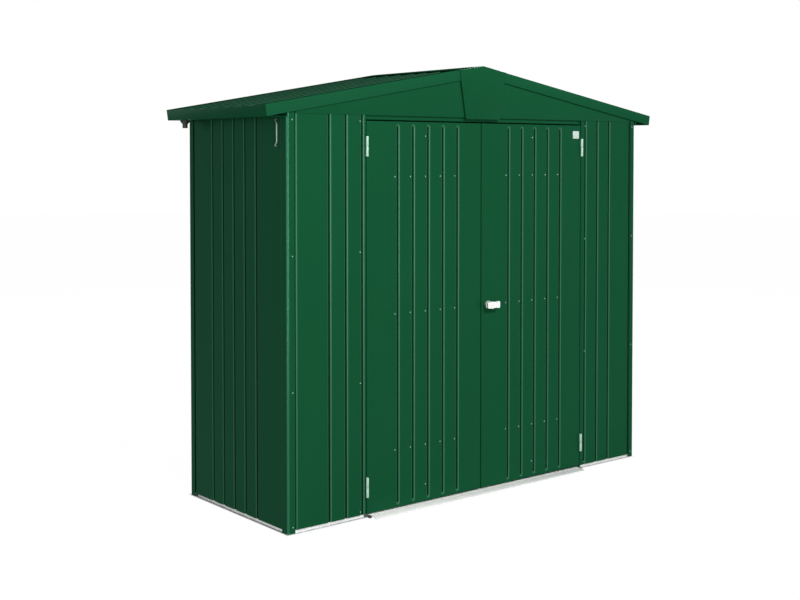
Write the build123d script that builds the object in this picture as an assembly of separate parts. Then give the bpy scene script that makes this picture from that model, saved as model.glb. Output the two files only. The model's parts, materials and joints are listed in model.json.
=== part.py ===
from build123d import *
import math
import os

# Metal storage shed with a low gable roof and a double door.
# Millimetres. X runs along the front, left to right; the front faces -Y; Z is up.
# The origin is the middle of the four ground anchor holes, on the ground.

# Overall sizes
ROOF_WIDTH = 2440.0
ROOF_DEPTH = 842.0
RIDGE_HEIGHT = 2032.0
EAVE_HEIGHT = 1820.0
WALL_WIDTH = 2220.0
WALL_DEPTH = 828.0

# Sheet metal
SHEET = 2.0
GROOVE_WIDTH = 22.0
GROOVE_DEPTH = 6.0
GROOVE_ROOT_WIDTH = 8.0
GROOVE_ROOT_RISE = 1.3
GROOVE_PITCH = 89.7
SIDE_GROOVE_PITCH = 92.0

# How far a cut runs past the metal
OVERCUT = 1.0

# Floor frame and sill
FRAME_SHEET = 3.0
FRAME_FLANGE = 57.0
FRAME_LEG_HEIGHT = 40.0
FRAME_PROUD = 3.0
PANEL_FOOT = 16.0
ANCHOR_FROM_END = 113.0
ANCHOR_FROM_EDGE = 39.0
ANCHOR_HOLE_RADIUS = 5.5
SILL_REACH = 45.0
SILL_HEIGHT = 10.0
SILL_NOSE = 4.0
SILL_RAMP = 20.0
SILL_TREAD = 33.0
SILL_TREAD_LINES = 3
SILL_LINE_PITCH = 8.0
SILL_LINE_WIDTH = 2.0
SILL_LINE_DEPTH = 1.0
SILL_CAP_WIDTH = 12.0
SILL_CAP_HEIGHT = 11.0
SILL_CAP_ROUND = 3.0

# Corner posts
POST_LEG = 45.0
POST_RADIUS = 18.0

# Door opening and leaves
DOOR_WIDTH = 684.0
DOOR_MIDDLE_GAP = 6.0
DOOR_SIDE_GAP = 5.0
DOOR_TOP_GAP = 6.0
DOOR_DEPTH = 25.0
DOOR_FIRST_GROOVE = 178.0
DOOR_GROOVES = 5
DOOR_GROOVE_TOP_MARGIN = 20.0
DOOR_GROOVE_FOOT_MARGIN = 26.0
DOOR_GROOVE_END = 16.0
DOOR_RAIL_HEIGHTS = (278.5, 895.0, 1513.0)
DOOR_RAIL_WIDTH = 40.0
DOOR_RAIL_DEPTH = 14.0
JAMB_DEPTH = 38.0
JAMB_FLANGE = 6.0
JAMB_STOP = 12.0

# Wall panels
PANEL_END_GAP = 1.0
LEFT_PANEL_NEAR_GROOVE = 18.0
RIGHT_PANEL_NEAR_GROOVE = 34.0
POST_GROOVE_OFFSET = 6.0
FRONT_PANEL_GROOVES = 3
SIDE_PANEL_GROOVES = 5
SIDE_GROOVE_SHIFT = 16.0
BACK_PANELS = 3
BACK_PANEL_GROOVES = 5

# Wall head
HEAD_BOTTOM = 1767.0
RAIL_HEIGHT = 36.0
RAIL_FLANGE = 25.0
SIDE_RAIL_LAP = 10.2
GABLE_BOTTOM = 1786.0
PANEL_TOP_LAP = 8.0

# Roof
ROOF_RIB_HEIGHT = 8.0
ROOF_RIB_WIDTH = 30.0
ROOF_RIB_FLAT = 14.0
ROOF_RIBS = 9
ROOF_EDGE_FLAT = 4.0
VERGE_HEIGHT = 50.0
VERGE_FLANGE = 30.0
GUTTER_BOTTOM = 1771.0
GUTTER_SLOT = 20.0
GUTTER_LEAN = 7.0
RIDGE_CAP_WIDTH = 90.0
RIDGE_BEAM_WIDTH = 60.0
RIDGE_BEAM_HEIGHT = 45.0
KEYSTONE_HALF_BOTTOM = 108.0
KEYSTONE_BOTTOM = 1779.0
KEYSTONE_PROUD = 4.0

# Gutter outlet
OUTLET_FROM_END = 76.0
OUTLET_TOP_RADIUS = 22.0
OUTLET_FOOT_RADIUS = 12.0
OUTLET_LENGTH = 36.0
OUTLET_RIM = 8.0
OUTLET_CONE = 10.0
OUTLET_SIDES = 24

# Hinges
HINGE_RADIUS = 6.5
HINGE_LENGTH = 89.0
HINGE_HEIGHTS = (91.0, 1604.0)
HINGE_CLEAR = 1.0
HINGE_FROM_DOOR = 3.0
HINGE_LEAF = 1.5
HINGE_LEAF_DEPTH = 30.0
HINGE_MOVING_LEAF_DEPTH = 22.0
HINGE_KNUCKLE_GAP = 1.0
HINGE_PIN_RADIUS = 3.0
HINGE_RUNNING_FIT = 0.08

# Turn handle, blank plate and rod bracket
HANDLE_FROM_EDGE = 40.0
HANDLE_Z = 895.0
ROSE_RADIUS = 19.0
ROSE_HEIGHT = 10.0
LEVER_GAP = 0.3
LEVER_THICKNESS = 26.0
LEVER_GRIP_DEPTH = 16.0
LEVER_LEFT = 30.0
LEVER_RIGHT = 48.0
LEVER_WIDTH = 29.0
LEVER_CORNER = 5.0
LEVER_BOSS_RADIUS = 17.0
LEVER_PAD_LENGTH = 14.0
LEVER_PAD_WIDTH = 32.0
LEVER_POCKET_DEPTH = 12.0
LEVER_WALL = 3.0
PLATE_FROM_EDGE = 35.0
PLATE_Z = 1713.0
PLATE_WIDTH = 44.0
PLATE_HEIGHT = 38.0
PLATE_THICKNESS = 2.0
PLATE_CORNER = 3.0
ROD_RADIUS = 3.0
ROD_SIDES = 8
ROD_FROM_CORNER = 62.0
ROD_TOP = 1762.0
ROD_FOOT = 1648.0
ROD_STAND_OFF = 12.0
ROD_BEND = 16.0
ROD_BEND_RADIUS = 7.0

# Places worked out from the sizes above
SLOPE = math.atan2(RIDGE_HEIGHT - EAVE_HEIGHT, ROOF_WIDTH / 2)
SLOPE_DEGREES = math.degrees(SLOPE)
SLOPE_LENGTH = ROOF_WIDTH / 2 / math.cos(SLOPE)
PAN_BOTTOM = 2 * SHEET + ROOF_RIB_HEIGHT
PANEL_FACE_X = WALL_WIDTH / 2 - SHEET
PANEL_FACE_Y = WALL_DEPTH / 2 - SHEET
PANEL_END_X = WALL_WIDTH / 2 - POST_RADIUS - PANEL_END_GAP
PANEL_END_Y = WALL_DEPTH / 2 - POST_RADIUS - PANEL_END_GAP
GROOVE_BACK = GROOVE_DEPTH + SHEET
DOOR_EDGE = DOOR_MIDDLE_GAP / 2 + DOOR_WIDTH
DOOR_TOP = HEAD_BOTTOM - DOOR_TOP_GAP
OPENING_EDGE = DOOR_EDGE + DOOR_SIDE_GAP
POST_GROOVE = POST_LEG - POST_RADIUS - PANEL_END_GAP + POST_GROOVE_OFFSET
VERGE_FACE = ROOF_DEPTH / 2
FRAME_EDGE_X = WALL_WIDTH / 2 + FRAME_PROUD
FRAME_EDGE_Y = WALL_DEPTH / 2 + FRAME_PROUD
ANCHOR_SPACING_X = 2 * (FRAME_EDGE_X - ANCHOR_FROM_END)
ANCHOR_SPACING_Y = 2 * (FRAME_EDGE_Y - ANCHOR_FROM_EDGE)
OUTLET_X = (ROOF_WIDTH + WALL_WIDTH) / 4
OUTLET_Y = VERGE_FACE - OUTLET_FROM_END
HINGE_X = DOOR_EDGE + HINGE_FROM_DOOR
HINGE_Y = -(PANEL_FACE_Y + HINGE_CLEAR + HINGE_RADIUS)
HANDLE_X = DOOR_MIDDLE_GAP / 2 + HANDLE_FROM_EDGE
PLATE_X = DOOR_EDGE - PLATE_FROM_EDGE
ROD_Y = -(WALL_DEPTH / 2 - ROD_FROM_CORNER)


def roof_underside(x):
    """Height of the flat underside of the roof sheet above a place x."""
    return RIDGE_HEIGHT - abs(x) * math.tan(SLOPE) - PAN_BOTTOM / math.cos(SLOPE)


def section(points):
    return make_face(Polyline(*points, close=True))


def block(u_from, u_to, v_from, v_to):
    centre = Pos((u_from + u_to) / 2, (v_from + v_to) / 2)
    return centre * Rectangle(abs(u_to - u_from), abs(v_to - v_from))


def along_x(face, x_from, x_to):
    """Extrude a section drawn in Y and Z."""
    return extrude(Plane.YZ.offset(x_from) * face, x_to - x_from)


def along_y(face, y_from, y_to):
    """Extrude a section drawn in X and Z."""
    return extrude(Plane.XZ.offset(-y_from) * face, y_from - y_to)


def along_z(face, z_from, z_to):
    """Extrude a section drawn in X and Y."""
    return extrude(Plane.XY.offset(z_from) * face, z_to - z_from)


def mirror_x(shape):
    return mirror(shape, about=Plane.YZ)


def mirror_y(shape):
    return mirror(shape, about=Plane.XZ)


# Beaded sheet panels: the outer face lies on y = 0 and the sheet goes towards +Y.
def bead_lines(width, grooves, lift):
    """The panel's edge line, with a rounded V bead at each groove, lifted by a sheet's thickness."""
    half = GROOVE_WIDTH / 2
    half_root = GROOVE_ROOT_WIDTH / 2
    root_edge = lift + GROOVE_DEPTH - GROOVE_ROOT_RISE
    lines = []
    start = (0, lift)
    for groove in grooves:
        shoulder = (groove - half, lift)
        root_start = (groove - half_root, root_edge)
        root_end = (groove + half_root, root_edge)
        lines.append(Line(start, shoulder))
        lines.append(Line(shoulder, root_start))
        lines.append(ThreePointArc(root_start, (groove, lift + GROOVE_DEPTH), root_end))
        start = (groove + half, lift)
        lines.append(Line(root_end, start))
    lines.append(Line(start, (width, lift)))
    return lines


def beaded_panel(width, height, grooves, lip_start, lip_end):
    lines = bead_lines(width, grooves, 0) + bead_lines(width, grooves, SHEET)
    lines += [Line((0, 0), (0, SHEET)), Line((width, 0), (width, SHEET))]
    face = make_face(Curve() + lines)
    if lip_start:
        face += block(0, SHEET, 0, GROOVE_BACK)
    if lip_end:
        face += block(width - SHEET, width, 0, GROOVE_BACK)
    return along_z(face, 0, height)


def evenly(first, pitch, count):
    return [first + pitch * number for number in range(count)]


# Floor frame: a light alloy rail under each wall, with a leg inside the panels.
def floor_rail_front():
    outer = FRAME_EDGE_Y
    half = FRAME_EDGE_X
    leg_face = PANEL_FACE_Y - GROOVE_BACK
    flange = along_x(block(-outer, -outer + FRAME_FLANGE, 0, FRAME_SHEET), -half, half)
    leg_section = block(-leg_face, -leg_face + FRAME_SHEET, 0, FRAME_LEG_HEIGHT)
    leg_end = PANEL_FACE_X - GROOVE_BACK - FRAME_SHEET
    leg = along_x(leg_section, -leg_end, -OPENING_EDGE - SHEET)
    rail = flange + leg + mirror_x(leg)
    return rail - anchor_holes()


def floor_rail_back():
    outer = FRAME_EDGE_Y
    half = FRAME_EDGE_X
    leg_face = PANEL_FACE_Y - GROOVE_BACK
    flange = along_x(block(outer - FRAME_FLANGE, outer, 0, FRAME_SHEET), -half, half)
    leg_section = block(leg_face - FRAME_SHEET, leg_face, 0, FRAME_LEG_HEIGHT)
    leg_end = PANEL_FACE_X - GROOVE_BACK - FRAME_SHEET
    rail = flange + along_x(leg_section, -leg_end, leg_end)
    return rail - anchor_holes()


def anchor_holes():
    drill = along_z(Circle(ANCHOR_HOLE_RADIUS), -OVERCUT, FRAME_SHEET + OVERCUT)
    spots = GridLocations(ANCHOR_SPACING_X, ANCHOR_SPACING_Y, 2, 2)
    return Part() + [spot * drill for spot in spots]


def floor_rail_left():
    outer = FRAME_EDGE_X
    leg_face = PANEL_FACE_X - GROOVE_BACK
    end = FRAME_EDGE_Y - FRAME_FLANGE
    face = block(-outer, -outer + FRAME_FLANGE, 0, FRAME_SHEET)
    face += block(-leg_face, -leg_face + FRAME_SHEET, 0, FRAME_LEG_HEIGHT)
    return along_y(face, -end, end)


# Sill: a folded ramp in front of the doors, its back foot on the front rail.
def door_sill():
    rail_edge = -FRAME_EDGE_Y
    nose = rail_edge - SILL_REACH
    ramp_top = nose + SILL_RAMP
    back = rail_edge + SILL_TREAD
    points = [
        (nose, 0),
        (nose, SILL_NOSE),
        (ramp_top, SILL_HEIGHT),
        (back, SILL_HEIGHT),
        (back, FRAME_SHEET),
        (back - FRAME_SHEET, FRAME_SHEET),
        (back - FRAME_SHEET, SILL_HEIGHT - FRAME_SHEET),
        (ramp_top, SILL_HEIGHT - FRAME_SHEET),
        (nose + FRAME_SHEET, SILL_NOSE - FRAME_SHEET),
        (nose + FRAME_SHEET, 0),
    ]
    face = section(points)
    for line in evenly(ramp_top + SILL_LINE_PITCH, SILL_LINE_PITCH, SILL_TREAD_LINES):
        line_end = line + SILL_LINE_WIDTH
        face -= block(line, line_end, SILL_HEIGHT - SILL_LINE_DEPTH, SILL_HEIGHT)
    half = DOOR_EDGE - SILL_CAP_WIDTH
    return along_x(face, -half, half)


def sill_caps():
    rail_edge = -FRAME_EDGE_Y
    half = DOOR_EDGE - SILL_CAP_WIDTH
    face = block(rail_edge - SILL_REACH, rail_edge, 0, SILL_CAP_HEIGHT)
    cap = along_x(face, half, half + SILL_CAP_WIDTH)
    cap = fillet(cap.edges().filter_by(Axis.Y).sort_by(Axis.Z)[-2:], SILL_CAP_ROUND)
    return cap + mirror_x(cap)


# Corner post: a rounded nose between two legs that lap over the panels.
def corner_post(top):
    x = WALL_WIDTH / 2
    y = WALL_DEPTH / 2
    outer = block(x - POST_LEG, x, y - POST_LEG, y)
    outer = fillet(outer.vertices().group_by(Axis.X)[-1].sort_by(Axis.Y)[-1], POST_RADIUS)
    inner_end = POST_LEG + OVERCUT
    inner = block(x - inner_end, x - SHEET, y - inner_end, y - SHEET)
    inner_radius = POST_RADIUS - SHEET
    inner = fillet(inner.vertices().group_by(Axis.X)[-1].sort_by(Axis.Y)[-1], inner_radius)
    return along_z(outer - inner, FRAME_SHEET, top)


# Wall panels
def front_panel(near_groove, top):
    """The left one: from the corner post to the door opening, one bead beside the post."""
    width = PANEL_END_X - OPENING_EDGE
    last = width - near_groove
    first = last - GROOVE_PITCH * (FRONT_PANEL_GROOVES - 1)
    grooves = [POST_GROOVE] + evenly(first, GROOVE_PITCH, FRONT_PANEL_GROOVES)
    panel = beaded_panel(width, top - PANEL_FOOT, grooves, False, False)
    return Pos(-PANEL_END_X, -PANEL_FACE_Y, PANEL_FOOT) * panel


def side_panel(top):
    width = 2 * PANEL_END_Y
    middle = width / 2 - SIDE_GROOVE_SHIFT
    first = middle - SIDE_GROOVE_PITCH * (SIDE_PANEL_GROOVES - 1) / 2
    grooves = evenly(first, SIDE_GROOVE_PITCH, SIDE_PANEL_GROOVES)
    grooves = [POST_GROOVE] + grooves + [width - POST_GROOVE]
    panel = beaded_panel(width, top - PANEL_FOOT, grooves, False, False)
    return Pos(-PANEL_FACE_X, PANEL_END_Y, PANEL_FOOT) * Rot(0, 0, -90) * panel


def back_panel(number, top):
    width = 2 * PANEL_END_X / BACK_PANELS
    first = width / 2 - GROOVE_PITCH * (BACK_PANEL_GROOVES - 1) / 2
    grooves = evenly(first, GROOVE_PITCH, BACK_PANEL_GROOVES)
    lip_start = number > 0
    lip_end = number < BACK_PANELS - 1
    if not lip_start:
        grooves = [POST_GROOVE] + grooves
    if not lip_end:
        grooves = grooves + [width - POST_GROOVE]
    panel = beaded_panel(width, top - PANEL_FOOT, grooves, lip_start, lip_end)
    start = PANEL_END_X - width * number
    return Pos(start, PANEL_FACE_Y, PANEL_FOOT) * Rot(0, 0, 180) * panel


# Door jamb: a channel behind the edge of the front panel, with a stop lip.
def door_jamb():
    face_y = -PANEL_FACE_Y + SHEET
    back_y = face_y + JAMB_DEPTH
    edge = OPENING_EDGE
    face = block(edge, edge + SHEET, face_y, back_y)
    face += block(edge, edge + JAMB_FLANGE, face_y, face_y + SHEET)
    face += block(edge - JAMB_STOP, edge + SHEET, back_y - SHEET, back_y)
    return along_z(face, FRAME_SHEET, HEAD_BOTTOM)


# Top rails: channels along the wall heads, their webs on the backs of the beads.
def top_rail_front():
    web = -(PANEL_FACE_Y - GROOVE_BACK)
    top = HEAD_BOTTOM + RAIL_HEIGHT
    face = block(web, web + SHEET, HEAD_BOTTOM, top)
    face += block(web, web + RAIL_FLANGE, HEAD_BOTTOM, HEAD_BOTTOM + SHEET)
    face += block(web, web + RAIL_FLANGE, top - SHEET, top)
    half = PANEL_FACE_X - GROOVE_BACK - SHEET
    return along_x(face, -half, half)


def top_rail_side():
    web = PANEL_FACE_X - GROOVE_BACK
    top = roof_underside(web)
    bottom = HEAD_BOTTOM + RAIL_HEIGHT - SIDE_RAIL_LAP
    face = block(web - SHEET, web, bottom, top)
    face += block(web - RAIL_FLANGE, web, bottom, bottom + SHEET)
    face += block(web - RAIL_FLANGE, web, top - SHEET, top)
    end = PANEL_FACE_Y - GROOVE_BACK - RAIL_FLANGE
    return along_y(face, -end, end)


# Gable sheets and the keystone plate over the peak
def gable_sheet():
    end = WALL_WIDTH / 2 - POST_LEG
    points = [
        (-end, GABLE_BOTTOM),
        (-end, roof_underside(end)),
        (0, roof_underside(0)),
        (end, roof_underside(end)),
        (end, GABLE_BOTTOM),
    ]
    return along_y(section(points), -WALL_DEPTH / 2, -PANEL_FACE_Y)


def keystone_half_width(z):
    """The plate's sides stand square to the roof slopes."""
    return KEYSTONE_HALF_BOTTOM + (z - KEYSTONE_BOTTOM) * math.tan(SLOPE)


def keystone_outline(shrink):
    bottom = KEYSTONE_BOTTOM + shrink
    peak = RIDGE_HEIGHT - shrink / math.cos(SLOPE)
    side_bottom = keystone_half_width(bottom) - shrink / math.cos(SLOPE)
    rise = peak - bottom - side_bottom * math.tan(SLOPE)
    shoulder = side_bottom + rise * math.tan(SLOPE) / (1 + math.tan(SLOPE) ** 2)
    shoulder_z = peak - shoulder * math.tan(SLOPE)
    return section([
        (-side_bottom, bottom),
        (-shoulder, shoulder_z),
        (0, peak),
        (shoulder, shoulder_z),
        (side_bottom, bottom),
    ])


def gable_keystone():
    face_y = -(VERGE_FACE + KEYSTONE_PROUD)
    tray = along_y(keystone_outline(0), face_y, -WALL_DEPTH / 2)
    hollow = along_y(keystone_outline(SHEET), face_y + SHEET, -WALL_DEPTH / 2)
    roof_space = block(-VERGE_FACE + SHEET, 0, -PAN_BOTTOM, SHEET)
    slot = on_right_slope(along_x(roof_space, 0, KEYSTONE_HALF_BOTTOM * 2))
    return tray - hollow - slot - mirror_x(slot)


# Roof parts on the right slope: local x runs from the ridge down to the eave.
def rib_line(width, ribs):
    points = [(0, 0)]
    for rib in ribs:
        points.append((rib - ROOF_RIB_WIDTH / 2, 0))
        points.append((rib - ROOF_RIB_FLAT / 2, ROOF_RIB_HEIGHT))
        points.append((rib + ROOF_RIB_FLAT / 2, ROOF_RIB_HEIGHT))
        points.append((rib + ROOF_RIB_WIDTH / 2, 0))
    points.append((width, 0))
    return points


def on_right_slope(shape):
    return Pos(0, 0, RIDGE_HEIGHT) * Rot(0, SLOPE_DEGREES, 0) * shape


def roof_sheet_right():
    edge = VERGE_FACE - SHEET
    first = ROOF_EDGE_FLAT + ROOF_RIB_WIDTH / 2
    pitch = 2 * (edge - first) / (ROOF_RIBS - 1)
    ribs = evenly(first, pitch, ROOF_RIBS)
    low = -PAN_BOTTOM
    bottom = [(u - edge, v + low) for u, v in rib_line(2 * edge, ribs)]
    top = [(u, v + SHEET) for u, v in bottom]
    face = section(bottom + top[::-1])
    cut_at_ridge = PAN_BOTTOM * math.tan(SLOPE)
    sheet = along_x(face, -cut_at_ridge, SLOPE_LENGTH)
    sheet = on_right_slope(sheet)
    eave_end = ROOF_WIDTH / 2 - GUTTER_SLOT - SHEET
    keep = block(0, eave_end, EAVE_HEIGHT - VERGE_HEIGHT, RIDGE_HEIGHT + SHEET)
    keep = along_y(keep, -edge, edge)
    return sheet & keep


def ridge_cap():
    edge = VERGE_FACE - SHEET - VERGE_FLANGE
    half = RIDGE_CAP_WIDTH
    wing = along_y(block(-SHEET * math.tan(SLOPE), half, -SHEET, 0), -edge, edge)
    wing = on_right_slope(wing)
    wing &= along_y(block(0, half, EAVE_HEIGHT, RIDGE_HEIGHT + SHEET), -edge, edge)
    return wing + mirror_x(wing)


def ridge_beam():
    half = RIDGE_BEAM_WIDTH / 2
    top = roof_underside(half)
    peak = roof_underside(0)
    outline = [
        (-half, top - RIDGE_BEAM_HEIGHT),
        (-half, top),
        (0, peak),
        (half, top),
        (half, top - RIDGE_BEAM_HEIGHT),
    ]
    inner_half = half - SHEET
    inner_top = roof_underside(inner_half) - SHEET
    hollow = [
        (-inner_half, top - RIDGE_BEAM_HEIGHT - OVERCUT),
        (-inner_half, inner_top),
        (0, peak - SHEET / math.cos(SLOPE)),
        (inner_half, inner_top),
        (inner_half, top - RIDGE_BEAM_HEIGHT - OVERCUT),
    ]
    end = PANEL_FACE_Y
    return along_y(section(outline) - section(hollow), -end, end)


def verge_space():
    """The right half of the roof's front view, down to the gutter, which leans in at its foot."""
    outer = ROOF_WIDTH / 2
    rise = RIDGE_HEIGHT + SHEET
    drop = EAVE_HEIGHT - GUTTER_BOTTOM
    foot = GUTTER_BOTTOM - drop
    return section([
        (0, foot),
        (0, rise),
        (outer, rise),
        (outer, EAVE_HEIGHT),
        (outer - 2 * GUTTER_LEAN, foot),
    ])


def verge_front_right():
    flange = block(-VERGE_FACE, -VERGE_FACE + VERGE_FLANGE + SHEET, -SHEET, 0)
    fascia = block(-VERGE_FACE, -VERGE_FACE + SHEET, -VERGE_HEIGHT, 0)
    verge = on_right_slope(along_x(fascia + flange, 0, SLOPE_LENGTH + VERGE_HEIGHT))
    bottom = KEYSTONE_BOTTOM - PAN_BOTTOM
    top = RIDGE_HEIGHT + PAN_BOTTOM
    behind_keystone = section([
        (0, bottom),
        (keystone_half_width(bottom), bottom),
        (keystone_half_width(top), top),
        (0, top),
    ])
    verge -= along_y(behind_keystone, -VERGE_FACE - SHEET, -VERGE_FACE + SHEET)
    verge += mirror_y(verge_lip()) - along_y(behind_keystone, -VERGE_FACE, 0)
    return verge & along_y(verge_space(), -VERGE_FACE, 0)


def verge_lip():
    """The lower edge of the trim, turned in to meet the gable sheet."""
    lip = block(WALL_DEPTH / 2, VERGE_FACE, -VERGE_HEIGHT, -VERGE_HEIGHT + SHEET)
    lip = on_right_slope(along_x(lip, -VERGE_HEIGHT, SLOPE_LENGTH))
    keep = block(0, WALL_WIDTH / 2, GUTTER_BOTTOM, RIDGE_HEIGHT)
    return lip & along_y(keep, 0, VERGE_FACE)


def verge_back_right():
    flange = block(VERGE_FACE - VERGE_FLANGE - SHEET, VERGE_FACE, -SHEET, 0)
    fascia = block(VERGE_FACE - SHEET, VERGE_FACE, -VERGE_HEIGHT, 0)
    start = -VERGE_HEIGHT
    verge = along_x(fascia + flange, start, SLOPE_LENGTH + VERGE_HEIGHT)
    return (on_right_slope(verge) & along_y(verge_space(), 0, VERGE_FACE)) + verge_lip()


def gutter_right():
    outer = ROOF_WIDTH / 2
    inner = WALL_WIDTH / 2
    top = EAVE_HEIGHT - SHEET
    wall_top = roof_underside(inner + SHEET)
    foot = outer - GUTTER_LEAN
    face = section([
        (outer - SHEET, top),
        (outer, top),
        (foot, GUTTER_BOTTOM),
        (foot - SHEET, GUTTER_BOTTOM),
    ])
    face += block(inner, foot - SHEET / 2, GUTTER_BOTTOM, GUTTER_BOTTOM + SHEET)
    face += block(inner, inner + SHEET, GUTTER_BOTTOM, wall_top)
    end = VERGE_FACE - SHEET
    gutter = along_y(face, -end, end)
    drain = Circle(OUTLET_FOOT_RADIUS - SHEET)
    drain = along_z(drain, GUTTER_BOTTOM - OVERCUT, GUTTER_BOTTOM + SHEET + OVERCUT)
    return gutter - Pos(OUTLET_X, OUTLET_Y, 0) * drain


def gutter_outlet():
    rim = RegularPolygon(OUTLET_TOP_RADIUS, OUTLET_SIDES)
    foot = RegularPolygon(OUTLET_FOOT_RADIUS, OUTLET_SIDES)
    bore = RegularPolygon(OUTLET_FOOT_RADIUS - SHEET, OUTLET_SIDES)
    neck = -OUTLET_RIM - OUTLET_CONE
    spout = along_z(rim, -OUTLET_RIM, 0)
    spout += loft([Pos(0, 0, -OUTLET_RIM) * rim, Pos(0, 0, neck) * foot])
    spout += along_z(foot, -OUTLET_LENGTH, neck)
    spout -= along_z(bore, -OUTLET_LENGTH - OVERCUT, OVERCUT)
    return Pos(OUTLET_X, OUTLET_Y, GUTTER_BOTTOM) * spout


# Door leaves: a folded tray with pressed beads; rails behind carry the beads.
def door_bead(near, lift):
    """The solid of one bead from y = near; its walls and sloping ends start at y = lift."""
    half = GROOVE_WIDTH / 2
    half_root = GROOVE_ROOT_WIDTH / 2
    depth = GROOVE_DEPTH + lift
    root_edge = depth - GROOVE_ROOT_RISE
    across = [
        Line((-half, near), (-half, lift)),
        Line((-half, lift), (-half_root, root_edge)),
        ThreePointArc((-half_root, root_edge), (0, depth), (half_root, root_edge)),
        Line((half_root, root_edge), (half, lift)),
        Line((half, lift), (half, near)),
        Line((half, near), (-half, near)),
    ]
    foot = DOOR_GROOVE_FOOT_MARGIN - lift
    top = DOOR_TOP - PANEL_FOOT - DOOR_GROOVE_TOP_MARGIN + lift
    end = DOOR_GROOVE_END + lift
    along = section([
        (near, foot),
        (lift, foot),
        (depth, foot + end),
        (depth, top - end),
        (lift, top),
        (near, top),
    ])
    return along_z(make_face(Curve() + across), foot, top) & along_x(along, -half, half)


def door_skin(left_edge):
    height = DOOR_TOP - PANEL_FOOT
    tray = along_z(block(0, DOOR_WIDTH, 0, DOOR_DEPTH), 0, height)
    hollow_face = block(SHEET, DOOR_WIDTH - SHEET, SHEET, DOOR_DEPTH)
    tray -= along_z(hollow_face, SHEET, height - SHEET)
    raised = door_bead(0, SHEET)
    pressed = door_bead(-OVERCUT, 0)
    for groove in evenly(DOOR_FIRST_GROOVE, GROOVE_PITCH, DOOR_GROOVES):
        tray = tray + Pos(groove, 0, 0) * raised - Pos(groove, 0, 0) * pressed
    return Pos(left_edge, -PANEL_FACE_Y, PANEL_FOOT) * tray


def door_rails(left_edge):
    front = -PANEL_FACE_Y + GROOVE_BACK
    rails = Part()
    for height in DOOR_RAIL_HEIGHTS:
        bottom = height - DOOR_RAIL_WIDTH / 2
        top = height + DOOR_RAIL_WIDTH / 2
        face = block(front, front + SHEET, bottom, top)
        face += block(front, front + DOOR_RAIL_DEPTH, bottom, bottom + SHEET)
        face += block(front, front + DOOR_RAIL_DEPTH, top - SHEET, top)
        rails += along_x(face, left_edge + SHEET, left_edge + DOOR_WIDTH - SHEET)
    return rails


# Hinges on the left door: the lower knuckle and pin stay, the upper knuckle moves.
def hinge_fixed():
    hinges = Part()
    top = (HINGE_LENGTH - HINGE_KNUCKLE_GAP) / 2
    wall_side = HINGE_X - OPENING_EDGE
    leaf = block(wall_side, wall_side + HINGE_LEAF, 0, HINGE_LEAF_DEPTH + HINGE_RADIUS)
    hinge = along_z(Circle(HINGE_RADIUS) + leaf, 0, top)
    hinge += along_z(Circle(HINGE_PIN_RADIUS), 0, HINGE_LENGTH)
    for foot in HINGE_HEIGHTS:
        hinges += Pos(-HINGE_X, HINGE_Y, foot) * hinge
    return hinges


def hinge_moving():
    hinges = Part()
    bottom = (HINGE_LENGTH + HINGE_KNUCKLE_GAP) / 2
    door_side = HINGE_X - DOOR_EDGE
    leaf_back = HINGE_MOVING_LEAF_DEPTH + HINGE_RADIUS
    leaf = block(door_side - HINGE_LEAF, door_side, 0, leaf_back)
    bore = Circle(HINGE_PIN_RADIUS + HINGE_RUNNING_FIT)
    hinge = along_z(Circle(HINGE_RADIUS) + leaf - bore, bottom, HINGE_LENGTH)
    for foot in HINGE_HEIGHTS:
        hinges += Pos(-HINGE_X, HINGE_Y, foot) * hinge
    return hinges


# Turn handle: a rose on the door, and a hollow-ended lever with a round boss that turns on it.
def handle_rose():
    rose = along_y(Circle(ROSE_RADIUS), -ROSE_HEIGHT, 0)
    return Pos(HANDLE_X, -PANEL_FACE_Y, HANDLE_Z) * rose


def handle_lever():
    seat = -(ROSE_HEIGHT + LEVER_GAP)
    face = seat - LEVER_THICKNESS
    grip_back = face + LEVER_GRIP_DEPTH
    half = LEVER_WIDTH / 2
    bar = fillet(block(-LEVER_LEFT, LEVER_RIGHT, -half, half).vertices(), LEVER_CORNER)
    pad_middle = LEVER_RIGHT - LEVER_PAD_LENGTH / 2
    pad = RectangleRounded(LEVER_PAD_LENGTH, LEVER_PAD_WIDTH, LEVER_CORNER)
    grip = along_y(bar + Pos(pad_middle, 0) * pad, face, grip_back)
    pocket = Plane.YZ.offset(-LEVER_LEFT) * block(
        face + LEVER_WALL, grip_back - LEVER_WALL, -half + LEVER_WALL, half - LEVER_WALL
    )
    grip -= extrude(pocket, LEVER_POCKET_DEPTH)
    lever = grip + along_y(Circle(LEVER_BOSS_RADIUS), face, seat)
    return Pos(HANDLE_X, -PANEL_FACE_Y, HANDLE_Z) * lever


def blank_plate():
    face = RectangleRounded(PLATE_WIDTH, PLATE_HEIGHT, PLATE_CORNER)
    plate = along_y(face, -PLATE_THICKNESS, 0)
    return Pos(PLATE_X, -PANEL_FACE_Y, PLATE_Z) * plate


# Bent rod bracket on the left wall, its ends turned back into the sheet.
def rod_bracket():
    wall = -PANEL_FACE_X
    out = wall - ROD_STAND_OFF
    path = FilletPolyline(
        (wall, ROD_Y + ROD_BEND, ROD_FOOT),
        (out, ROD_Y + ROD_BEND, ROD_FOOT),
        (out, ROD_Y, ROD_FOOT + ROD_BEND),
        (out, ROD_Y, ROD_TOP - ROD_BEND),
        (out, ROD_Y + ROD_BEND, ROD_TOP),
        (wall, ROD_Y + ROD_BEND, ROD_TOP),
        radius=ROD_BEND_RADIUS,
    )
    start = Plane(origin=(wall, ROD_Y + ROD_BEND, ROD_FOOT), z_dir=(-1, 0, 0))
    return sweep(start * RegularPolygon(ROD_RADIUS, ROD_SIDES), path=path)


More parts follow.
